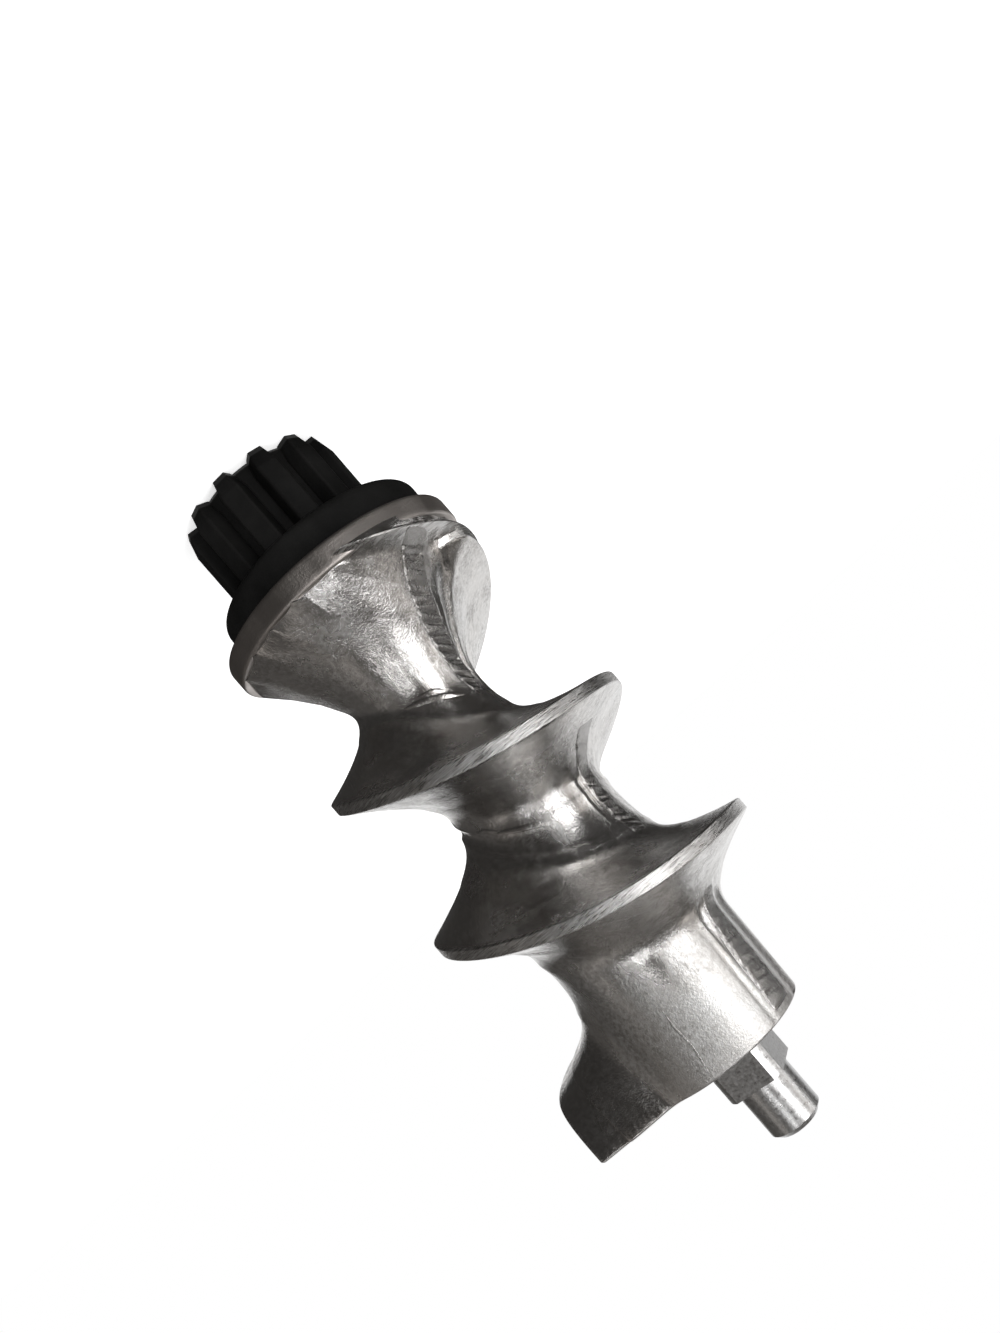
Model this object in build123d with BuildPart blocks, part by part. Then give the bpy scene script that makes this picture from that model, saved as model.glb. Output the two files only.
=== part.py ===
from build123d import *
import os
from math import cos, exp, pi, radians, sin

os.makedirs("parts", exist_ok=True)

# Feed screw of a small kitchen meat grinder. Millimetres.
# The screw stands on the free end of its coupling, with its axis along +Z and the knife pin on top.
# Turns of the flight are counted from its crossing of the -Y side, and grow clockwise seen from above,
# so the flight is left-handed.

# Drive coupling: splined drum and flange
drum_length = 11.6
rib_count = 12
rib_tip_radius = 11.1
rib_root_radius = 9.1
rib_tip_width = 2.8
rib_foot_width = 3.5
rib_first_angle = 12.0
rib_lead_in = 2.4
rib_lead_in_taper = 14.0
rib_edge_round = 0.45
flange_radius = 15.2
flange_offset = 0.6
flange_thickness = 4.6
flange_edge_round = 1.2
drum_end_chamfer = 0.5

# Square drive tail of the casting, inside the coupling
tail_width = 10.5
tail_corner_round = 1.4
tail_recess = 1.0

# Collar and core of the casting, heights counted from the flange
collar_radius = 17.5
collar_width = 3.0
collar_edge_chamfer = 0.4
collar_step = 0.5
body_length = 77.3
neck_radius = 5.0
neck_height = 18.0
core_end_radius = 10.9
core_full_height = 59.1
trumpet_length = 22.7
trumpet_power = 2.03
core_step = 2.0

# Flight: tip radius, crest land and flanks. Flank and fillet runs are shares of the lead at full depth,
# and the sway makes the flanks shorter and steeper towards the -X side
tip_inset = 0.5
tip_radius_end = 23.3
tip_power = 0.93
land_width = 1.75
lead = 21.22
first_crest_height = 28.6
lead_growth = 0.124
lead_centre_turn = 0.4
parting_wave = 0.078
parting_phase = 78.4
coupling_flank_run = 0.275
coupling_fillet_run = 0.36
pin_flank_run = 0.455
pin_fillet_run = 0.44
flank_sway = 0.09
flank_sway_turn = 0.25
flank_bite = 0.5
flank_bulge = 0.70
flight_root_radius = 3.2
stations_per_turn = 28
station_crowding = 0.62

# End of the flight: the land widens to the end plane, then the coupling side runs out steeply into it
widening_turns = 0.25
widening_rate = 26.0
runout_depth = 7.6
runout_turns = 0.157
runout_bend = 0.066
runout_rise = 5.4
runout_lag = 0.033
flank_spare = 3.0
land_spare = 5.0
foot_spare = 8.0

# Knife spindle: hidden shank, square seat with turned corners, round pin
seat_length = 6.4
seat_width = 8.6
seat_turned_radius = 5.3
seat_angle = -65.0
pin_radius = 4.0
pin_length = 7.8
pin_chamfer = 0.8
shank_length = 22.0
shank_neck_radius = 3.4
shank_neck_width = 4.0
shank_neck_depth = 12.0

metal_height = drum_length + flange_thickness
end_height = metal_height + body_length
shoulder_height = end_height + seat_length


def crest_height(turn):
    """Height of the middle of the flight's land above the flange."""
    wave = parting_wave * sin(4 * pi * turn + radians(parting_phase))
    growth = lead_growth * (turn - lead_centre_turn) ** 3
    return first_crest_height + lead * (turn + wave + growth)


def turn_at(height):
    """Turn at which the flight's land reaches a height above the flange."""
    below = -body_length / lead
    above = 2 * body_length / lead
    while above - below > 0.0001:
        middle = (below + above) / 2
        if crest_height(middle) < height:
            below = middle
        else:
            above = middle
    return above


def tip_radius(height):
    """Tip radius of the flight at a height above the flange."""
    start = collar_radius - tip_inset
    share = min(1.0, max(0.0, height / body_length))
    return start + (tip_radius_end - start) * share ** tip_power


def core_radius(height):
    """Radius of the trumpet and core at a height above the flange."""
    grown = (height - neck_height) / (core_full_height - neck_height)
    grown = min(1.0, max(0.0, grown))
    plain = neck_radius + (core_end_radius - neck_radius) * sin(grown * pi / 2)
    left = 1.0 - (height - collar_width) / trumpet_length
    left = min(1.0, max(0.0, left))
    return plain + (collar_radius - collar_step - plain) * left ** trumpet_power


def land_growth(turn):
    """Extra width of the land near the flight's end, all on the pin side."""
    return widening_rate * max(0.0, turn - runout_turn + widening_turns)


def runout(turn, radius):
    """Extra height of the coupling-side flank where it runs out into the end plane."""
    lag = runout_lag * (tip_radius_end - radius) / (tip_radius_end - core_end_radius)
    past = max(0.0, turn - runout_turn - lag) / runout_bend
    return runout_rise * (past ** 3 if past < 1 else 3 * past - 2)


def eased(height, spare):
    """Height, with what lies past the end plane pressed into a spare length that is cut off."""
    past = max(0.0, height - body_length)
    return min(height, body_length) + spare * (1 - exp(-past / spare))


def half_plane(turn):
    """Plane through the axis: x outwards, y up the axis."""
    angle = -pi / 2 - 2 * pi * turn
    outwards = (cos(angle), sin(angle), 0)
    return Plane(origin=(0, 0, metal_height), x_dir=outwards, z_dir=(sin(angle), -cos(angle), 0))


def flank(corner, flank_run, fillet_run):
    """Control points of one concave flank, from its land corner down to its foot in the core."""
    tip, start = corner
    toe = start + flank_run * lead * (tip - core_radius(start)) / tip_radius_end
    depth = tip - core_radius(toe)
    toe = start + flank_run * lead * depth / tip_radius_end
    foot = toe + fillet_run * lead * depth / tip_radius_end
    bend = (core_radius(toe), toe)
    end = (core_radius(foot) - flank_bite, foot)
    high = (tip + flank_bulge * (bend[0] - tip), start + flank_bulge * (toe - start))
    low = ((end[0] + bend[0]) / 2, (end[1] + bend[1]) / 2)
    return [corner, high, low, end]


# Flight, as a loft through half-plane sections that stand closer together towards its end
start_turn = turn_at(collar_width - land_width / 2 - tip_inset)
runout_turn = turn_at(body_length - runout_depth)
flight_turns = runout_turn + runout_turns - start_turn
station_count = round(flight_turns * stations_per_turn)
with BuildPart() as flight:
    for station in range(station_count + 1):
        share = station / station_count
        share += station_crowding * share * (1 - share)
        turn = start_turn + share * flight_turns
        middle = crest_height(turn)
        tip = tip_radius(middle)
        lower_corner = (tip, middle - land_width / 2)
        upper_corner = (tip, middle + land_width / 2 + land_growth(turn))
        sway = flank_sway * cos(2 * pi * (turn - flank_sway_turn))
        lower_flank = flank(lower_corner, sway - coupling_flank_run, -coupling_fillet_run)
        lower_flank = [(r, eased(h + runout(turn, r), flank_spare)) for r, h in lower_flank]
        upper_flank = flank(upper_corner, pin_flank_run - sway, pin_fillet_run)
        upper_foot = (upper_flank[-1][0], eased(upper_flank[-1][1], foot_spare))
        upper_flank = [(r, eased(h, land_spare)) for r, h in upper_flank[:-1]] + [upper_foot]
        inner_foot = (flight_root_radius, lower_flank[-1][1])
        inner_head = (flight_root_radius, upper_foot[1])
        with BuildSketch(half_plane(turn)):
            with BuildLine():
                Line(lower_flank[0], upper_flank[0])
                Bezier(*upper_flank)
                Line(upper_foot, inner_head)
                Line(inner_head, inner_foot)
                Line(inner_foot, lower_flank[-1])
                Bezier(*reversed(lower_flank))
            make_face()
    loft()

# Spindle, a turned square bar: shank, seat and pin in one piece of steel
shank_foot = end_height - shank_length
neck_centre = end_height - shank_neck_depth
with BuildPart() as knife_spindle:
    with BuildSketch(Plane.XY.offset(shank_foot)):
        Rectangle(seat_width, seat_width, rotation=seat_angle)
        Circle(seat_turned_radius, mode=Mode.INTERSECT)
    extrude(amount=shoulder_height - shank_foot)
    with BuildSketch(Plane.XY.offset(neck_centre - shank_neck_width / 2)):
        Circle(seat_turned_radius + 1)
        Circle(shank_neck_radius, mode=Mode.SUBTRACT)
    extrude(amount=shank_neck_width, mode=Mode.SUBTRACT)
    with BuildSketch(Plane.XY.offset(shoulder_height)):
        Circle(pin_radius)
    extrude(amount=pin_length)
    pin_end = knife_spindle.edges().filter_by(GeomType.CIRCLE).sort_by(Axis.Z)[-1]
    chamfer(pin_end, length=pin_chamfer)
knife_spindle.part.label = "knife_spindle"

# Casting: collar, trumpet and core in one revolve, flight, drive tail, and the spindle's socket
core_stations = round((body_length - collar_width) / core_step)
core_rise = (body_length - collar_width) / core_stations
core_heights = [collar_width + step * core_rise for step in range(core_stations + 1)]
with BuildPart() as screw_body:
    with BuildSketch(Plane.XZ):
        with BuildLine():
            trumpet = Spline([(core_radius(height), metal_height + height) for height in core_heights])
            collar_foot = metal_height + collar_width
            Polyline(
                trumpet @ 0,
                (collar_radius - collar_edge_chamfer, collar_foot),
                (collar_radius, collar_foot - collar_edge_chamfer),
                (collar_radius, metal_height + collar_edge_chamfer),
                (collar_radius - collar_edge_chamfer, metal_height),
                (0, metal_height),
                (0, end_height),
                trumpet @ 1,
            )
        make_face()
    revolve(axis=Axis.Z)
    add(flight.part)
    split(bisect_by=Plane.XY.offset(end_height), keep=Keep.BOTTOM)
    with BuildSketch(Plane.XY.offset(tail_recess)):
        RectangleRounded(tail_width, tail_width, tail_corner_round)
    extrude(amount=metal_height - tail_recess)
    add(knife_spindle.part, mode=Mode.SUBTRACT)
screw_body.part.label = "screw_body"

# Coupling: one rib first, then the drum, the flange, the ring of ribs and the square bore
with BuildPart() as rib:
    with BuildSketch(Plane.XY.offset(rib_lead_in)) as rib_section:
        with BuildLine():
            Polyline(
                (rib_root_radius - 1, -rib_foot_width / 2),
                (rib_root_radius, -rib_foot_width / 2),
                (rib_tip_radius, -rib_tip_width / 2),
                (rib_tip_radius, rib_tip_width / 2),
                (rib_root_radius, rib_foot_width / 2),
                (rib_root_radius - 1, rib_foot_width / 2),
                close=True,
            )
        make_face()
        fillet(rib_section.vertices().group_by(Axis.X)[-1], radius=rib_edge_round)
    extrude(rib_section.sketch, amount=drum_length - rib_lead_in)
    extrude(rib_section.sketch, amount=-rib_lead_in, taper=rib_lead_in_taper)

with BuildPart() as drive_coupling:
    with BuildSketch():
        Circle(rib_root_radius)
    extrude(amount=drum_length)
    chamfer(drive_coupling.faces().sort_by(Axis.Z)[0].edges(), length=drum_end_chamfer)
    with PolarLocations(0, rib_count, start_angle=rib_first_angle):
        add(rib.part)
    with BuildSketch(Plane.XY.offset(drum_length)):
        with Locations((-flange_offset, 0)):
            Circle(flange_radius)
    extrude(amount=flange_thickness)
    flange_edges = drive_coupling.edges().filter_by(GeomType.CIRCLE).sort_by(SortBy.RADIUS)
    fillet(flange_edges.group_by(SortBy.RADIUS)[-1].sort_by(Axis.Z)[0], radius=flange_edge_round)
    with BuildSketch():
        RectangleRounded(tail_width, tail_width, tail_corner_round)
    extrude(amount=metal_height, mode=Mode.SUBTRACT)
drive_coupling.part.label = "drive_coupling"

export_step(screw_body.part, "parts/screw_body.step")
export_step(drive_coupling.part, "parts/drive_coupling.step")
export_step(knife_spindle.part, "parts/knife_spindle.step")
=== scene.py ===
from math import cos, pi, radians, sin

import bmesh
import bpy
import numpy as np
from mathutils import Matrix, Vector


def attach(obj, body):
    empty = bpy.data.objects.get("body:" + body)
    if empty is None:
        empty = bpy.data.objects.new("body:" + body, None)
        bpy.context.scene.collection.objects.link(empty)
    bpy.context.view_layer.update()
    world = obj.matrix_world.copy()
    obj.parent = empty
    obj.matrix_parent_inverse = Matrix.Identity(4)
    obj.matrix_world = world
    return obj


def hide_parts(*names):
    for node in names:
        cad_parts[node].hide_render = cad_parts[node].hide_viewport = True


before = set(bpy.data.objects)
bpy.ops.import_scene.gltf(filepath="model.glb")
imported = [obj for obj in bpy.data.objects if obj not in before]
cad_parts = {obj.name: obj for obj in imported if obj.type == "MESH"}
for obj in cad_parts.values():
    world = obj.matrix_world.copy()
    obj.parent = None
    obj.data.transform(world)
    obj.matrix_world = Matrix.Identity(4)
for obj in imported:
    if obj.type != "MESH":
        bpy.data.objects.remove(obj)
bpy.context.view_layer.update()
MM = 0.001

# Sizes, as in the part's source, in millimetres
METAL_HEIGHT = 16.2
BODY_LENGTH = 77.3
COLLAR_RADIUS = 17.5
COLLAR_WIDTH = 3.0
COLLAR_STEP = 0.5
NECK_RADIUS = 5.0
NECK_HEIGHT = 18.0
CORE_END_RADIUS = 10.9
CORE_FULL_HEIGHT = 59.1
TRUMPET_LENGTH = 22.7
TRUMPET_POWER = 2.03
TIP_INSET = 0.5
TIP_RADIUS_END = 23.29  # 0.01 under the part's, so that the mesh stays inside the CAD box
TIP_POWER = 0.93
FLANK_SWAY = 0.09
FLANK_SWAY_TURN = 0.25
LAND_WIDTH = 1.75
LEAD = 21.22
FIRST_CREST_HEIGHT = 28.6
LEAD_GROWTH = 0.124
LEAD_CENTRE_TURN = 0.4
PARTING_WAVE = 0.078
PARTING_PHASE = 78.4
COUPLING_FLANK_RUN = 0.275
COUPLING_FILLET_RUN = 0.36
PIN_FLANK_RUN = 0.455
PIN_FILLET_RUN = 0.44
FLANK_BULGE = 0.70
FLANK_BITE = 0.5
WIDENING_TURNS = 0.25
WIDENING_RATE = 26.0
RUNOUT_TURN = 1.7172
RUNOUT_BEND = 0.066
RUNOUT_RISE = 5.4
RUNOUT_LAG = 0.033


def crest_height(turn):
    """Height of the land's middle above the collar's foot, after so many turns."""
    wave = PARTING_WAVE * sin(4 * pi * turn + radians(PARTING_PHASE))
    growth = LEAD_GROWTH * (turn - LEAD_CENTRE_TURN) ** 3
    return FIRST_CREST_HEIGHT + LEAD * (turn + wave + growth)


def tip_radius(height):
    """Radius of the flight's land."""
    start = COLLAR_RADIUS - TIP_INSET
    return start + (TIP_RADIUS_END - start) * min(max(height, 0.0) / BODY_LENGTH, 1.0) ** TIP_POWER


def core_radius(height):
    """Radius of the core, with the trumpet-shaped neck below it."""
    grown = min(1.0, max(0.0, (height - NECK_HEIGHT) / (CORE_FULL_HEIGHT - NECK_HEIGHT)))
    plain = NECK_RADIUS + (CORE_END_RADIUS - NECK_RADIUS) * sin(grown * pi / 2)
    left = min(1.0, max(0.0, 1.0 - (height - COLLAR_WIDTH) / TRUMPET_LENGTH))
    return plain + (COLLAR_RADIUS - COLLAR_STEP - plain) * left ** TRUMPET_POWER


def runout(turn, radius):
    """How far the last flank is lifted, to widen the flight into a claw."""
    lag = RUNOUT_LAG * (TIP_RADIUS_END - radius) / (TIP_RADIUS_END - CORE_END_RADIUS)
    past = max(0.0, turn - RUNOUT_TURN - lag) / RUNOUT_BEND
    return RUNOUT_RISE * (past ** 3 if past < 1 else 3 * past - 2)


def flank(corner, flank_run, fillet_run):
    """Control points of a flank, from the land's corner to its foot in the core."""
    tip, start = corner
    toe = start + flank_run * LEAD * (tip - core_radius(start)) / TIP_RADIUS_END
    depth = tip - core_radius(toe)
    toe = start + flank_run * LEAD * depth / TIP_RADIUS_END
    foot = toe + fillet_run * LEAD * depth / TIP_RADIUS_END
    bend = (core_radius(toe), toe)
    end = (core_radius(foot) - FLANK_BITE, foot)
    high = (tip + FLANK_BULGE * (bend[0] - tip), start + FLANK_BULGE * (toe - start))
    low = ((end[0] + bend[0]) / 2, (end[1] + bend[1]) / 2)
    return np.array([corner, high, low, end])


def bezier(points, shares):
    """Points of a cubic curve at shares of its run."""
    u = np.asarray(shares)[:, None]
    a, b, c, d = points
    return (1 - u) ** 3 * a + 3 * u * (1 - u) ** 2 * b + 3 * u * u * (1 - u) * c + u ** 3 * d


def soft_max(a, b, blend):
    """The larger of the two, with a fillet where they are close."""
    return (a + b + np.sqrt((a - b) ** 2 + blend ** 2)) / 2


# The casting, as a dense helical grid: columns round the axis, rows from land to land.
# A direction is a share of a turn, or psi in degrees, from the camera's side and clockwise seen from above.
COLUMNS = 300
COLUMN_SHARES = [c / COLUMNS for c in range(COLUMNS)]
FLANK_ROWS = 16
FLANK_SHARES = np.linspace(0.0, 1.0, FLANK_ROWS + 1)[1:]
FLANK_CROWDING = 1.15  # brings the rows closer together near the land
CHANNEL_ROWS = 7
LAND_ROWS = 4  # rows at either end of a segment that count as land
EDGE = 0.16  # the round between land and flank
EDGE_STEPS = (0.0, 0.25, 0.5, 0.75, 1.0)
EDGE_SHARE = 0.035  # share of the flank's curve that the round takes
LAND_GUARD = 0.08  # row beside the round, which keeps the land flat
FLOOR_BLEND = 1.9  # fillet between flank and core
CHANNEL_SINK = 2.5  # how far the rows of a channel's floor pass below the core before the fillet
FLANK_CLEAR = 2.0  # a flank this far above the core keeps its own radius
FLIGHT_START = -0.86  # turns; the flight fades in here
FLIGHT_FADE = 0.06
CLAW_START = 1.45  # turns; the widened end of the flight blends softly into the core
CLAW_FADE = 0.3
CLAW_END = 1.86
CLAW_BLEND = 6.0
RIM = 0.35  # round of the end plane's rim
RIM_STEPS = (30, 60, 90)  # degrees
END_RINGS = (0.96, 0.7, 0.4)  # shares of the end plane's radius
# Long hollows in the skin: lowest and highest height, middle and half width in psi at heights, and depth
HOLLOW_FOOT = 1.2  # run over which a hollow deepens
HOLLOW_HEAD = 3 * HOLLOW_FOOT  # run over which it fades out
HOLLOW_REACH = 1.5  # only skin this near the core is hollowed
HOLLOW_PSI = (0, 90)  # the quarter that the hollows lie in
HOLLOWS = [
    (1.8, 23.5, ([3, 12, 22], [64.0, 63.0, 70.0]), ([3, 12, 22], [10.0, 8.0, 6.0]), 0.50),
    (
        3.2, 22.3, ([3, 7, 12, 17, 22], [44.5, 41, 40, 47, 55]),
        ([3, 7, 12, 17, 22], [7.5, 9.5, 11, 13, 12]), 0.55,
    ),
    (57.0, 78.4, ([58, 66, 77], [42.0, 36.0, 29.5]), ([58, 77], [3.4, 3.4]), 0.34),
    (57.0, 79.0, ([58, 77], [68.0, 66.0]), ([58, 77], [10.0, 9.0]), 0.45),
    (33.0, 47.0, ([33, 47], [41.0, 42.0]), ([33, 47], [4.0, 4.0]), 0.25),
]
# Heights over which the skin turns to rough cast, and the distances from the core over which that ends
RAW_FROM = 58.0
RAW_FULL = 66.0
RAW_NEAR = 0.5
RAW_AWAY = 2.5


def land_ends(turn):
    """Control points of the flanks below and above the land, at a turn; each starts at the land's corner."""
    middle = crest_height(turn)
    tip = tip_radius(max(middle, 0.0))
    sway = FLANK_SWAY * cos(2 * pi * (turn - FLANK_SWAY_TURN))
    growth = WIDENING_RATE * max(0.0, turn - RUNOUT_TURN + WIDENING_TURNS)
    lower = (tip, middle - LAND_WIDTH / 2)
    upper = (tip, middle + LAND_WIDTH / 2 + growth)
    lower_flank = flank(lower, sway - COUPLING_FLANK_RUN, -COUPLING_FILLET_RUN)
    for point in lower_flank:
        point[1] += runout(turn, point[0])
    upper_flank = flank(upper, PIN_FLANK_RUN - sway, PIN_FILLET_RUN)
    return lower_flank, upper_flank


def rounded_corner(points, side):
    """Land corner to flank, with a small round; from the land towards the foot."""
    corner = points[0]
    first = bezier(points, [0.0, EDGE_SHARE])[1]
    start = corner - np.array([0.0, side * EDGE])
    arc = [(1 - u) ** 2 * start + 2 * u * (1 - u) * corner + u * u * first for u in EDGE_STEPS]
    body = bezier(points, EDGE_SHARE + (1 - EDGE_SHARE) * FLANK_SHARES ** FLANK_CROWDING)
    return np.vstack([arc, body])


def smooth(value, low, high):
    """0 below low, 1 above high, and an S-curve between."""
    share = min(1.0, max(0.0, (value - low) / (high - low)))
    return share * share * (3 - 2 * share)


def segment(turn):
    """Profile points (radius, height, land) from the land of this turn to the land of the next."""
    following = turn + 1
    present = smooth(turn, FLIGHT_START, FLIGHT_START + FLIGHT_FADE)
    claw = smooth(following, CLAW_START, CLAW_START + CLAW_FADE)
    claw *= 1 - smooth(following, CLAW_END, CLAW_END + CLAW_FADE / 2)
    lower_here, upper = land_ends(turn)
    lower, _ = land_ends(following)
    rise = rounded_corner(upper, 1)
    fall = rounded_corner(lower, -1)[::-1]
    land_middle = (lower_here[0][1] + upper[0][1]) / 2
    start = np.array([[upper[0][0], land_middle], [upper[0][0], rise[0, 1] - LAND_GUARD]])
    stop = np.array([[lower[0][0], fall[-1, 1] + LAND_GUARD]])
    shares = np.linspace(0, 1, CHANNEL_ROWS + 2)[1:-1, None]
    channel = rise[-1] * (1 - shares) + fall[0] * shares
    points = np.vstack([start, rise, channel, fall, stop])
    n = len(points)
    land = np.zeros(n)
    land[:LAND_ROWS] = 1.0
    land[-LAND_ROWS:] = 1.0
    flank_rows = np.ones(n, bool)
    flank_rows[len(start) + len(rise) : -len(fall) - len(stop)] = False
    core = np.array([core_radius(h) for h in points[:, 1]])
    inside = points[:, 0].copy()
    sunk = FLANK_BITE + CHANNEL_SINK * 4 * shares[:, 0] * (1 - shares[:, 0])
    inside[~flank_rows] = core[~flank_rows] - sunk
    along = np.linspace(0.0, 1.0, n)
    blend = FLOOR_BLEND + (CLAW_BLEND - FLOOR_BLEND) * claw * along
    radius = soft_max(inside, core, blend)
    keep = points[:, 0] - core > FLANK_CLEAR + blend
    radius = np.where(keep & flank_rows, points[:, 0], radius)
    if present < 1.0:
        first = np.arange(n) < len(start) + len(rise)
        radius = np.where(first, core + (radius - core) * present, radius)
        land[:LAND_ROWS] *= present
    return np.column_stack([radius, points[:, 1], land])


# Turns whose segments make one column, from below the collar to past the end plane
SEGMENT_TURNS = (-2, -1, 0, 1)


def column_profile(share):
    """Whole outline of the casting at one direction."""
    return np.vstack([segment(share + n) for n in SEGMENT_TURNS])


# Heights at which the outline is cut: inside the collar, and under the rim's round
LOW = 2.0
HIGH = BODY_LENGTH - RIM


def clip_profile(profile):
    """Cuts the outline at the two ends; returns it with every cut point moved onto the cut."""
    heights = profile[:, 1]
    top = np.argmax(heights > HIGH)
    bottom = np.nonzero(heights[:top] < LOW)[0][-1]
    out = profile.copy()
    for inner, outer, level, rows in (
        (top - 1, top, HIGH, slice(top, None)),
        (bottom + 1, bottom, LOW, slice(0, bottom + 1)),
    ):
        share = (level - heights[inner]) / (heights[outer] - heights[inner])
        out[rows] = profile[inner] * (1 - share) + profile[outer] * share
        out[rows, 1] = level
    return out, bottom, top


def hollow(psi, height, low, high, places, halves, depth):
    """Depth of a long hollow down the skin; places and halves are its middle and half width at heights."""
    away = (psi - np.interp(height, *places)) / np.interp(height, *halves)
    if abs(away) >= 1 or not low < height < high:
        return 0.0
    ends = smooth(height, low, low + HOLLOW_FOOT) * (1 - smooth(height, high - HOLLOW_HEAD, high))
    return depth * ends * cos(away * pi / 2) ** 2


def hollows(psi, height):
    """Hollows beside the trimmed strips, and the fine line at the last one."""
    total = 0.0
    for line in HOLLOWS:
        total += hollow(psi, height, *line)
    return total


def placed(radius, angle, height):
    """A point in metres, from its radius, angle and height in millimetres."""
    return (radius * cos(angle) * MM, radius * sin(angle) * MM, height * MM)


def band(lower, upper):
    """Faces between two closed rings of vertices."""
    return list(zip(lower, upper, upper[1:] + upper[:1], lower[1:] + lower[:1]))


def build_casting():
    """Vertices, faces, and each vertex's share of land and of rough cast."""
    profiles = [clip_profile(column_profile(share)) for share in COLUMN_SHARES]
    rows = len(profiles[0][0])
    period = rows // len(SEGMENT_TURNS)
    verts = []
    land = []
    raw = []
    index = np.zeros((COLUMNS, rows), int)
    angles = [-pi / 2 - 2 * pi * share for share in COLUMN_SHARES]
    for c, (profile, bottom, top) in enumerate(profiles):
        psi = (360 * COLUMN_SHARES[c] + 180) % 360 - 180
        for j in range(rows):
            if j <= bottom and j > 0 or j > top:
                index[c, j] = index[c, j - 1]
                continue
            r, h, is_land = profile[j]
            if HOLLOW_PSI[0] < psi < HOLLOW_PSI[1] and r < core_radius(h) + HOLLOW_REACH:
                r -= hollows(psi, h)
            index[c, j] = len(verts)
            verts.append(placed(r, angles[c], METAL_HEIGHT + h))
            land.append(is_land)
            near = 1 - smooth(r - core_radius(h), RAW_NEAR, RAW_AWAY)
            raw.append(smooth(h, RAW_FROM, RAW_FULL) * near)
    faces = []
    for c in range(COLUMNS):
        # the last column meets the first one a turn further on
        after, shift = (c + 1, 0) if c < COLUMNS - 1 else (0, period)
        for j in range(rows - 1):
            k0, k1 = min(j + shift, rows - 1), min(j + 1 + shift, rows - 1)
            ring = [index[c, j], index[c, j + 1], index[after, k1], index[after, k0]]
            ring = [v for i, v in enumerate(ring) if v != ring[i - 1]]
            if len(set(ring)) >= 3:
                faces.append(tuple(int(v) for v in ring))
    # rim round and end plane
    loop = [int(index[c, rows - 1]) for c in range(COLUMNS)]
    level = METAL_HEIGHT + HIGH
    rings = []
    for step in RIM_STEPS:
        inset = RIM * (1 - cos(radians(step)))
        height = level + RIM * sin(radians(step))
        rings.append([placed(profiles[c][0][-1, 0] - inset, angles[c], height) for c in range(COLUMNS)])
    outer_share = 1.0
    for share in END_RINGS:
        scale = share / outer_share
        rings.append([(x * scale, y * scale, z) for x, y, z in rings[-1]])
        outer_share = share
    for points in rings:
        ring = list(range(len(verts), len(verts) + COLUMNS))
        verts += points
        land += [0.0] * COLUMNS
        raw += [1.0] * COLUMNS
        faces += band(loop, ring)
        loop = ring
    faces.append(tuple(loop[::-1]))
    # floor, hidden in the collar
    faces.append(tuple(int(index[c, 0]) for c in range(COLUMNS)))
    return verts, faces, land, raw


def lathe(profile, sides):
    """Closed ring of revolution from (radius, height) points; its two ends are closed with flat faces."""
    verts = []
    faces = []
    for s in range(sides):
        verts += [placed(r, 2 * pi * s / sides, h) for r, h in profile]
    n = len(profile)
    for s in range(sides):
        t = (s + 1) % sides
        for i in range(n - 1):
            faces.append((s * n + i, t * n + i, t * n + i + 1, s * n + i + 1))
    faces.append(tuple(s * n for s in range(sides))[::-1])
    faces.append(tuple(s * n + n - 1 for s in range(sides)))
    return verts, faces


def surface_radius(share, heights):
    """Radius of the casting's skin in one direction, at heights between the lands."""
    profile = column_profile(share)
    order = np.argsort(profile[:, 1], kind="stable")
    return np.interp(heights, profile[order, 1], profile[order, 0])


# Trimmed flash strips: lowest and highest height, left and right edge in psi at heights, rows, columns,
# seed and strength of the file cuts
STRIPS = [
    (2.4, 22.5, ([3, 7, 12, 17, 22.5], [37, 31.5, 29, 34, 44], [52, 49, 51, 60, 68]), 190, 30, 5, 1.1),
    (33.5, 49.5, ([33, 40, 49.5], [43, 45, 44], [60, 62, 57]), 130, 26, 11, 0.35),
    (58.5, 76.9, ([58, 66, 77], [44.5, 39, 32.5], [58, 58, 58]), 130, 26, 23, 0.22),
]
STRIP_DEPTH = 0.7  # how deep a strip's hidden side lies in the casting
STRIP_LIFT = 0.18
STRIP_SINK = 0.12  # its borders dip this far under the skin
STRIP_SIDE_FADE = 0.12  # share of its width
STRIP_END_FADE = 1.6
STRIP_WAVES = ((0.04, 2.1, 3), (0.03, 5.3, -5))  # height, rate along the strip and slant
WAVE_PHASES = (0, 6.0)
SKIN_STEP = 2.0  # degrees between the directions in which the skin is measured
SKIN_MARGIN = 3
CUT_PITCH = 1.15
CUT_SPACING = (0.5, 1.2)  # shares of the pitch
# Each cut's place across the strip, depth, width, reach and slope
CUT_RANGES = ((0.25, 0.75), (0.22, 0.40), (0.18, 0.28), (0.30, 0.60), (-1.7, -0.6))
CUT_BEFORE, CUT_AFTER = -3, 5  # how many widths from its middle a cut reaches
CUT_TAIL = 0.55  # share of the depth with which its long side starts


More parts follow.
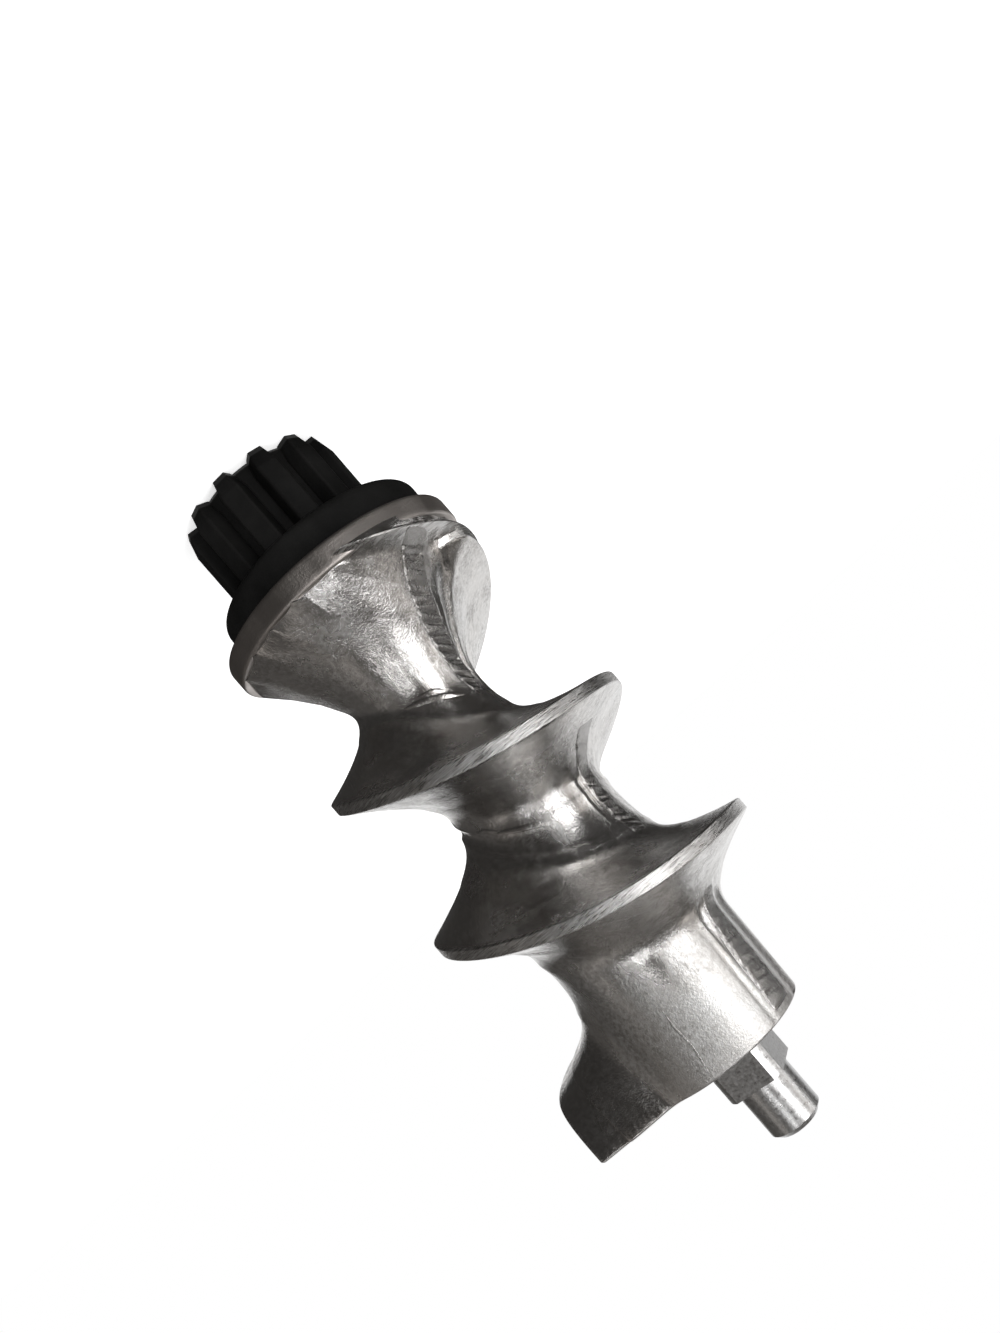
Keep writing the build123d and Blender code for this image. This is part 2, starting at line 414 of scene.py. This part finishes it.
def skin_patch(low, high, edges, rows, columns, relief):
    """A closed thin patch that follows the skin between two edges, lifted by relief(share, height)."""
    heights = np.linspace(low, high, rows)
    left = np.interp(heights, edges[0], edges[1])
    right = np.interp(heights, edges[0], edges[2])
    table_psi = np.arange(left.min() - SKIN_MARGIN, right.max() + SKIN_MARGIN + 0.1, SKIN_STEP)
    table = np.array([surface_radius(psi / 360 % 1.0, heights) for psi in table_psi])
    outer = []
    inner = []
    for i, height in enumerate(heights):
        for j in range(columns):
            u = j / (columns - 1)
            psi = left[i] + (right[i] - left[i]) * u
            r = np.interp(psi, table_psi, table[:, i])
            angle = -pi / 2 - radians(psi)
            outer.append(placed(r + relief(u, height), angle, METAL_HEIGHT + height))
            inner.append(placed(r - STRIP_DEPTH, angle, METAL_HEIGHT + height))
    shift = len(outer)
    faces = []
    for i in range(rows - 1):
        for j in range(columns - 1):
            a = i * columns + j
            quad = (a, a + 1, a + columns + 1, a + columns)
            faces.append(quad)
            faces.append(tuple(v + shift for v in reversed(quad)))
    rim = list(range(columns))
    rim += [i * columns + columns - 1 for i in range(1, rows)]
    rim += [(rows - 1) * columns + j for j in range(columns - 2, -1, -1)]
    rim += [i * columns for i in range(rows - 2, 0, -1)]
    for a, b in zip(rim, rim[1:] + rim[:1]):
        faces.append((b, a, a + shift, b + shift))
    return outer + inner, faces


def filed_relief(low, high, seed, strength):
    """Raised trimmed flash with short oblique file cuts."""
    rng = np.random.default_rng(seed)
    cuts = []
    at = low
    while at < high:
        cuts.append((at, *[rng.uniform(*limits) for limits in CUT_RANGES]))
        at += CUT_PITCH * rng.uniform(*CUT_SPACING)
    phases = rng.uniform(*WAVE_PHASES, len(STRIP_WAVES))

    def relief(u, height):
        side = smooth(min(u, 1 - u), 0.0, STRIP_SIDE_FADE)
        end = smooth(min(height - low, high - height), 0.0, STRIP_END_FADE)
        value = STRIP_LIFT + sum(
            size * sin(height * rate + phase + slant * u)
            for (size, rate, slant), phase in zip(STRIP_WAVES, phases)
        )
        for centre, place, deep, wide, reach, slope in cuts:
            away = (height - centre + slope * (u - place)) / wide
            if CUT_BEFORE < away < CUT_AFTER:
                step = np.exp(-away * away)
                if away >= 0:
                    step = max(step, CUT_TAIL * (1 - away / CUT_AFTER))
                value -= strength * deep * step * np.exp(-(((u - place) / reach) ** 2))
        return value * side * end - STRIP_SINK * (1 - side * end)

    return relief


# Fine raised cast lines: (psi, height) points, thickness, and how far they stand out
BEADS = [
    ([(-36, 17.6), (-18, 18.6), (1, 19.5), (20, 20.6), (36, 22.0)], 0.42, 0.16),
    ([(-14, 17.9), (4, 18.7), (16, 19.5)], 0.30, 0.12),
    ([(-38, 36.6), (-20, 38.2), (-4, 39.6), (16, 41.8)], 0.36, 0.12),
    ([(-52, 35.4), (-38, 36.0), (-26, 37.6)], 0.30, 0.10),
    ([(-19, 66.0), (-21, 69.0), (-20, 72.0), (-24, 77.0)], 0.16, 0.07),
]
BEAD_STEPS = 10  # between two points
BEAD_SIDES = 8
BEAD_WIDTH = 1.4  # of its height
BEAD_END = 0.25  # share of the thickness left at the ends


def bead(points, thick, proud):
    """A fine raised line on the skin through (psi, height) points, tapering to both ends."""
    points = np.array(points, float)
    steps = np.linspace(0, len(points) - 1, BEAD_STEPS * (len(points) - 1) + 1)
    psis = np.interp(steps, range(len(points)), points[:, 0])
    heights = np.interp(steps, range(len(points)), points[:, 1])
    centres = []
    for psi, height in zip(psis, heights):
        r = surface_radius(psi / 360 % 1.0, [height])[0] + proud - thick
        angle = -pi / 2 - radians(psi)
        centres.append(Vector((r * cos(angle), r * sin(angle), METAL_HEIGHT + height)))
    verts = []
    faces = []
    last = len(centres) - 1
    for i, centre in enumerate(centres):
        ahead = centres[min(i + 1, last)] - centres[max(i - 1, 0)]
        ahead.normalize()
        out = Vector((centre.x, centre.y, 0)).normalized()
        out = (out - ahead * out.dot(ahead)).normalized()
        across = ahead.cross(out)
        share = i / last
        size = thick * (BEAD_END + (1 - BEAD_END) * sin(pi * share) ** 0.5)
        for k in range(BEAD_SIDES):
            turn = 2 * pi * k / BEAD_SIDES
            verts.append(tuple((centre + (out * cos(turn) + across * BEAD_WIDTH * sin(turn)) * size) * MM))
    for i in range(last):
        here, there = i * BEAD_SIDES, (i + 1) * BEAD_SIDES
        for k in range(BEAD_SIDES):
            n = (k + 1) % BEAD_SIDES
            faces.append((here + k, here + n, there + n, there + k))
    faces.append(tuple(range(BEAD_SIDES))[::-1])
    faces.append(tuple(range(len(verts) - BEAD_SIDES, len(verts))))
    return verts, faces


def rounded_square(width, corner, steps=6):
    """Outline of a square with turned corners, as (x, y) in millimetres."""
    points = []
    reach = width / 2 - corner
    for k, (sx, sy) in enumerate(((1, 1), (-1, 1), (-1, -1), (1, -1))):
        for i in range(steps + 1):
            angle = pi / 2 * (k + i / steps)
            points.append((sx * reach + corner * cos(angle), sy * reach + corner * sin(angle)))
    return points


def prism(outline, low, high):
    """Closed upright prism over an outline."""
    verts = [(x * MM, y * MM, low * MM) for x, y in outline]
    verts += [(x * MM, y * MM, high * MM) for x, y in outline]
    n = len(outline)
    faces = [(i, (i + 1) % n, n + (i + 1) % n, n + i) for i in range(n)]
    faces += [tuple(range(n))[::-1], tuple(range(n, 2 * n))]
    return verts, faces


def joined(shells):
    """One list of vertices and one of faces from several closed shells."""
    all_verts, all_faces = [], []
    for verts, faces in shells:
        start = len(all_verts)
        all_verts += verts
        all_faces += [tuple(start + v for v in face) for face in faces]
    return all_verts, all_faces


def marked(shells, chosen):
    """1.0 for each vertex of the chosen shells and 0.0 for each other one, in their joined order."""
    values = []
    for shell in shells:
        values += [float(any(shell is one for one in chosen))] * len(shell[0])
    return values


def add_object(name, verts, faces):
    """A mesh object in the scene."""
    mesh = bpy.data.meshes.new(name)
    mesh.from_pydata(verts, [], faces)
    mesh.validate()
    obj = bpy.data.objects.new(name, mesh)
    bpy.context.scene.collection.objects.link(obj)
    return obj


def turn_faces_out(obj):
    """Makes every closed shell's faces point outwards."""
    bm = bmesh.new()
    bm.from_mesh(obj.data)
    bmesh.ops.recalc_face_normals(bm, faces=bm.faces)
    bm.to_mesh(obj.data)
    bm.free()


# (radius, height) over the casting's foot; the inner edge is hidden in the casting
COLLAR_PROFILE = [
    (12.0, 0.0), (17.0, 0.0), (17.2, 0.03), (17.38, 0.12), (17.47, 0.28), (17.5, 0.45), (17.5, 0.8),
    (17.5, 2.2), (17.5, 2.6), (17.46, 2.76), (17.36, 2.91), (17.2, 2.99), (17.05, 3.0), (15.0, 3.0),
]
COLLAR_SIDES = 240
TAIL_WIDTH = 10.5
TAIL_CORNER = 1.4
TAIL_RECESS = 1.0
TAIL_OVERLAP = 0.5
SHARP_ANGLE = 38  # degrees

verts, faces, land, raw = build_casting()
collar = lathe([(r, METAL_HEIGHT + h) for r, h in COLLAR_PROFILE], COLLAR_SIDES)
tail = prism(rounded_square(TAIL_WIDTH, TAIL_CORNER), TAIL_RECESS, METAL_HEIGHT + TAIL_OVERLAP)
strips = [
    skin_patch(low, high, edges, rows, columns, filed_relief(low, high, seed, strength))
    for low, high, edges, rows, columns, seed, strength in STRIPS
]
shells = [(verts, faces), collar, tail, *strips, *(bead(*row) for row in BEADS)]
verts, faces = joined(shells)
others = [0.0] * (len(verts) - len(land))
casting = add_object("cast_screw", verts, faces)
for name, values in (
    ("land", land + others),
    ("flash", marked(shells, strips)),
    ("raw", raw + others),
    ("turned", marked(shells, [collar])),
):
    attribute = casting.data.attributes.new(name, "FLOAT", "POINT")
    attribute.data.foreach_set("value", values)
turn_faces_out(casting)
casting.data.polygons.foreach_set("use_smooth", [True] * len(casting.data.polygons))
casting.data.set_sharp_from_angle(angle=radians(SHARP_ANGLE))
casting.data.update()


class Shader:
    """A node material, with short calls for the nodes that the finishes share."""

    def __init__(self, name):
        self.material = bpy.data.materials.new(name)
        self.material.use_nodes = True
        self.nodes = self.material.node_tree.nodes
        self.links = self.material.node_tree.links
        self.nodes.clear()
        output = self.nodes.new("ShaderNodeOutputMaterial")
        self.surface = self.nodes.new("ShaderNodeBsdfPrincipled")
        self.links.new(self.surface.outputs[0], output.inputs[0])
        self.place = self.nodes.new("ShaderNodeTexCoord").outputs["Object"]

    def put(self, socket, value):
        """Links the socket to another node's output, or sets its value."""
        if hasattr(value, "is_output"):
            self.links.new(value, socket)
        elif isinstance(value, tuple) and len(value) == 3 and len(socket.default_value) == 4:
            socket.default_value = (*value, 1.0)
        else:
            socket.default_value = value

    def set(self, **values):
        """Inputs of the surface, by their names with _ for each space."""
        for name, value in values.items():
            self.put(self.surface.inputs[name.replace("_", " ")], value)

    def stretch(self, scale, turn=(0.0, 0.0, 0.0)):
        node = self.nodes.new("ShaderNodeMapping")
        node.inputs["Scale"].default_value = scale
        node.inputs["Rotation"].default_value = turn
        self.links.new(self.place, node.inputs["Vector"])
        return node.outputs[0]

    def noise(self, scale, detail, rough, place=None):
        node = self.nodes.new("ShaderNodeTexNoise")
        node.inputs["Scale"].default_value = scale
        node.inputs["Detail"].default_value = detail
        node.inputs["Roughness"].default_value = rough
        self.links.new(place or self.place, node.inputs["Vector"])
        return node.outputs["Fac"]

    def remap(self, value, low, high, to_low=0.0, to_high=1.0):
        node = self.nodes.new("ShaderNodeMapRange")
        node.inputs["From Min"].default_value = low
        node.inputs["From Max"].default_value = high
        node.inputs["To Min"].default_value = to_low
        node.inputs["To Max"].default_value = to_high
        self.links.new(value, node.inputs["Value"])
        return node.outputs[0]

    def maths(self, operation, a, b):
        node = self.nodes.new("ShaderNodeMath")
        node.operation = operation
        self.put(node.inputs[0], a)
        self.put(node.inputs[1], b)
        return node.outputs[0]

    def mix(self, share, a, b):
        node = self.nodes.new("ShaderNodeMix")
        self.put(node.inputs["Factor"], share)
        self.put(node.inputs[2], a)
        self.put(node.inputs[3], b)
        return node.outputs[0]

    def blend(self, share, a, b):
        """As mix, for colours."""
        node = self.nodes.new("ShaderNodeMix")
        node.data_type = "RGBA"
        self.put(node.inputs["Factor"], share)
        self.put(node.inputs[6], a)
        self.put(node.inputs[7], b)
        return node.outputs[2]

    def ramp(self, value, stops):
        node = self.nodes.new("ShaderNodeValToRGB")
        elements = node.color_ramp.elements
        while len(elements) < len(stops):
            elements.new(0.5)
        for element, (at, colour) in zip(elements, stops):
            element.position = at
            element.color = (*colour, 1.0)
        self.links.new(value, node.inputs[0])
        return node.outputs[0]

    def bump(self, height, distance, under=None):
        node = self.nodes.new("ShaderNodeBump")
        node.inputs["Distance"].default_value = distance
        node.inputs["Strength"].default_value = 1.0
        self.links.new(height, node.inputs["Height"])
        if under is not None:
            self.links.new(under, node.inputs["Normal"])
        return node.outputs[0]

    def attribute(self, name):
        node = self.nodes.new("ShaderNodeAttribute")
        node.attribute_name = name
        return node.outputs["Fac"]


NOISE_SPAN = (0.3, 0.7)  # where most of a noise's values lie
# Heights of the bumps, in metres
LUMPS = 0.00011
CRUMBS = 0.000014
GRAIN = 0.00008
FILED = 0.00006
STEEL_BUMP = 0.00003
PLASTIC_BUMP = 0.00002
# How much rougher the rough cast and the turned collar are, and the tones of the collar and the strips
RAW_ROUGHER = 0.16
TURNED_ROUGHER = 0.22
TURNED_TONE = (0.50, 0.465, 0.44)
STRIP_TONE = (0.30, 0.29, 0.28)
STRIP_TONE_SHARE = 0.7

# Tumbled cast aluminium: soft unevenness, fine grain in patches, filed and scratched lands
cast = Shader("tumbled_cast_aluminium")
land_share = cast.attribute("land")
flash_share = cast.attribute("flash")
raw_share = cast.attribute("raw")
turned_share = cast.attribute("turned")
long_place = cast.stretch((1.0, 1.0, 0.4))
patches = cast.noise(190.0, 4.0, 0.65, long_place)
clouds = cast.noise(75.0, 2.0, 0.5)
grain = cast.noise(3700.0, 3.0, 0.7)
crumbs = cast.noise(1500.0, 3.0, 0.65)
lumps = cast.noise(240.0, 1.0, 0.5, long_place)
scratches = cast.noise(1.0, 3.0, 0.6, cast.stretch((500.0, 500.0, 6500.0), (0.18, 0.05, 0.0)))
tint = cast.ramp(
    cast.remap(clouds, *NOISE_SPAN),
    [(0.0, (0.60, 0.57, 0.545)), (0.55, (0.66, 0.645, 0.63)), (1.0, (0.70, 0.70, 0.695))],
)
dulled = cast.ramp(
    cast.remap(crumbs, 0.35, 0.7),
    [(0.0, (0.42, 0.405, 0.39)), (0.6, (0.68, 0.67, 0.66)), (1.0, (0.80, 0.795, 0.79))],
)
land_tone = cast.ramp(
    cast.remap(scratches, *NOISE_SPAN),
    [(0.0, (0.34, 0.33, 0.32)), (0.5, (0.62, 0.61, 0.60)), (1.0, (0.92, 0.915, 0.91))],
)
body_tone = cast.blend(cast.remap(patches, 0.4, 0.65, 0.25, 0.9), tint, dulled)
body_tone = cast.blend(turned_share, body_tone, TURNED_TONE)
body_tone = cast.blend(cast.maths("MULTIPLY", flash_share, STRIP_TONE_SHARE), body_tone, STRIP_TONE)
body_rough = cast.remap(patches, 0.35, 0.65, 0.15, 0.30)
for share, rougher in ((raw_share, RAW_ROUGHER), (turned_share, TURNED_ROUGHER)):
    body_rough = cast.maths("ADD", body_rough, cast.maths("MULTIPLY", share, rougher))
land_rough = cast.remap(scratches, *NOISE_SPAN, 0.22, 0.42)
grain_share = cast.remap(patches, 0.38, 0.62, 0.35, 1.0)
grain_share = cast.maths("MAXIMUM", cast.maths("MAXIMUM", grain_share, flash_share), raw_share)
relief = cast.bump(lumps, LUMPS)
for pattern, share, height in (
    (crumbs, grain_share, CRUMBS),
    (grain, grain_share, GRAIN),
    (scratches, land_share, FILED),
):
    relief = cast.bump(cast.maths("MULTIPLY", pattern, share), height, relief)
cast.set(
    Base_Color=cast.blend(land_share, body_tone, land_tone),
    Metallic=1.0,
    Roughness=cast.mix(land_share, body_rough, land_rough),
    Normal=relief,
)

# Turned and milled steel
steel = Shader("turned_steel")
rings = steel.noise(1.0, 2.0, 0.5, steel.stretch((60.0, 60.0, 7000.0)))
speckle = steel.noise(2200.0, 3.0, 0.6)
steel_tone = steel.ramp(
    steel.remap(speckle, *NOISE_SPAN), [(0.0, (0.52, 0.515, 0.51)), (1.0, (0.72, 0.72, 0.72))]
)
steel.set(
    Base_Color=steel_tone,
    Metallic=1.0,
    Roughness=steel.remap(speckle, *NOISE_SPAN, 0.26, 0.42),
    Normal=steel.bump(speckle, STEEL_BUMP, steel.bump(rings, STEEL_BUMP)),
)

# Matt black moulded plastic, a little paler in clouds
plastic = Shader("matt_black_plastic")
skin = plastic.noise(3000.0, 2.0, 0.5)
bloom = plastic.noise(140.0, 3.0, 0.6)
plastic_tone = plastic.ramp(
    plastic.remap(bloom, *NOISE_SPAN), [(0.0, (0.003, 0.00295, 0.0028)), (1.0, (0.007, 0.0068, 0.0064))]
)
plastic.set(
    Base_Color=plastic_tone,
    Roughness=plastic.remap(bloom, *NOISE_SPAN, 0.48, 0.62),
    Specular_IOR_Level=0.12,
    Normal=plastic.bump(skin, PLASTIC_BUMP),
)

casting.data.materials.append(cast.material)
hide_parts("screw_body")
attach(casting, "root")
for node, finish in (("drive_coupling", plastic), ("knife_spindle", steel)):
    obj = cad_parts[node]
    obj.data.materials.clear()
    obj.data.materials.append(finish.material)

# Floor and world, both white
FLOOR_REACH = 3


def rectangle(z, left, right, front, back):
    """Corners of a level rectangle."""
    return [(left, front, z), (right, front, z), (right, back, z), (left, back, z)]


floor_corners = rectangle(0, -FLOOR_REACH, FLOOR_REACH, -FLOOR_REACH, FLOOR_REACH)
floor = add_object("floor", floor_corners, [(0, 1, 2, 3)])
floor_finish = Shader("floor_white")
floor_finish.set(
    Base_Color=(0.9, 0.9, 0.9),
    Roughness=0.9,
    Emission_Color=(1.0, 1.0, 1.0),
    Emission_Strength=0.5,
)
floor.data.materials.append(floor_finish.material)

world = bpy.data.worlds.new("studio")
bpy.context.scene.world = world
world.use_nodes = True
world.node_tree.nodes["Background"].inputs["Color"].default_value = (1, 1, 1, 1)
world.node_tree.nodes["Background"].inputs["Strength"].default_value = 1.0


# A room of dark cards round the object, with three pale strips just inside it, in metres; the cards glow
# faintly and the strips brightly, though none is a lamp, and they show only in the metal as painted
# reflections
ROOM_LEFT, ROOM_RIGHT = -0.60, 0.30
ROOM_FRONT, ROOM_BACK = -0.50, 0.60
ROOM_LOW, ROOM_ROOF = -0.10, 0.9
LEFT_SPLIT = -0.04  # where the left wall changes from grey to dark
LEFT_BACK = 0.50  # where the left wall ends
FRONT_SPLIT = -0.02  # where the front wall changes from grey to dark
STRIP_LEFT, STRIP_RIGHT, STRIP_TOP = -0.59, 0.29, 0.89
ABOVE_FLOOR = 0.0006
CARD_TINT = (1.0, 0.94, 0.885)


def upright(start, end):
    """Corners of a wall of the room, between two (x, y) places."""
    return [(*start, ROOM_LOW), (*end, ROOM_LOW), (*end, ROOM_ROOF), (*start, ROOM_ROOF)]


def on_wall(x, corners):
    """Corners on a wall across x, from (y, z) places."""
    return [(x, y, z) for y, z in corners]


def add_card(name, corners, glow):
    """A glowing studio card, no lamp, that only shows in the reflections of the metal: a painted reflection,
    dark or bright as given.
    """
    card = add_object(name, corners, [(0, 1, 2, 3)])
    finish = Shader(name)
    finish.set(
        Base_Color=(0.0, 0.0, 0.0),
        Roughness=1.0,
        Emission_Color=tuple(glow * part for part in CARD_TINT),
        Emission_Strength=1.0,
    )
    card.data.materials.append(finish.material)
    card.visible_camera = False
    card.visible_diffuse = False
    card.visible_shadow = False
    card.visible_transmission = False


ROOM = (ROOM_LEFT, ROOM_RIGHT, ROOM_FRONT, ROOM_BACK)
for name, corners, glow in (
    ("card_side", upright((ROOM_RIGHT, ROOM_FRONT), (ROOM_RIGHT, ROOM_BACK)), 0.08),
    ("card_front", upright((FRONT_SPLIT, ROOM_FRONT), (ROOM_RIGHT, ROOM_FRONT)), 0.06),
    ("card_floor", rectangle(ABOVE_FLOOR, *ROOM), 0.03),
    ("card_grey", upright((ROOM_LEFT, ROOM_FRONT), (ROOM_LEFT, LEFT_SPLIT)), 0.14),
    ("card_far", upright((ROOM_LEFT, LEFT_SPLIT), (ROOM_LEFT, LEFT_BACK)), 0.05),
    ("card_grey_front", upright((ROOM_LEFT, ROOM_FRONT), (FRONT_SPLIT, ROOM_FRONT)), 0.17),
    ("card_roof", rectangle(ROOM_ROOF, *ROOM), 0.12),
    (
        "strip_left",
        on_wall(STRIP_LEFT, [(-0.46, 0.05), (-0.30, 0.05), (-0.02, STRIP_TOP), (-0.18, STRIP_TOP)]),
        1.0,
    ),
    ("strip_roof", rectangle(STRIP_TOP, STRIP_LEFT, -0.42, -0.22, 0.10), 1.0),
    (
        "strip_right",
        on_wall(STRIP_RIGHT, [(-0.16, 0.10), (-0.09, 0.10), (0.10, STRIP_TOP), (0.03, STRIP_TOP)]),
        0.6,
    ),
):
    add_card(name, corners, glow)

# Soft lamps: place, size and power
LAMP_AIM = (0, 0, 0.055)
LAMPS = {
    "key": ((-0.23, -0.405, 0.20), (0.15, 0.56), 1.4),
    "edge": ((-0.50, -0.12, 0.15), (0.06, 0.40), 0.3),
    "streak": ((0.16, -0.42, 0.35), (0.03, 0.30), 0.35),
}
for name, (location, size, power) in LAMPS.items():
    lamp_data = bpy.data.lights.new(name, "AREA")
    lamp_data.shape = "RECTANGLE"
    lamp_data.size, lamp_data.size_y = size
    lamp_data.energy = power
    lamp = bpy.data.objects.new(name, lamp_data)
    lamp.location = location
    lamp.rotation_mode = "QUATERNION"
    lamp.rotation_quaternion = (Vector(LAMP_AIM) - Vector(location)).to_track_quat("-Z", "Y")
    bpy.context.scene.collection.objects.link(lamp)

# Camera, fitted to the outline and edges in the photo
PHOTO_WIDTH = 1000
PHOTO_HEIGHT = 1333
FOCAL_PX = 1006.83
CENTRE_PX = (601.37, 841.99)
CAMERA_PLACE = (0.00085, -0.13171, 0.05898)
TILT, PAN, ROLL = 0.0294, -0.0393, radians(49.0) + 0.0017  # radians
camera_data = bpy.data.cameras.new("camera")
camera = bpy.data.objects.new("camera", camera_data)
bpy.context.scene.collection.objects.link(camera)
bpy.context.scene.camera = camera
camera_data.sensor_width = 36.0
camera_data.lens = FOCAL_PX * camera_data.sensor_width / PHOTO_HEIGHT
camera_data.shift_x = -(CENTRE_PX[0] - PHOTO_WIDTH / 2) / PHOTO_HEIGHT
camera_data.shift_y = (CENTRE_PX[1] - PHOTO_HEIGHT / 2) / PHOTO_HEIGHT
camera_data.clip_start = 0.005
camera_data.clip_end = 50.0
forward = Vector((sin(PAN), cos(PAN) * cos(TILT), cos(PAN) * sin(TILT)))
axis_up = Vector((0, 0, 1))
axis_up = (axis_up - forward * axis_up.dot(forward)).normalized()
side = axis_up.cross(forward)
right = axis_up * cos(ROLL) + side * sin(ROLL)
down = forward.cross(right)
basis = Matrix((right, -down, -forward)).transposed().to_4x4()
camera.matrix_world = Matrix.Translation(CAMERA_PLACE) @ basis

bpy.context.scene.view_settings.view_transform = "Standard"
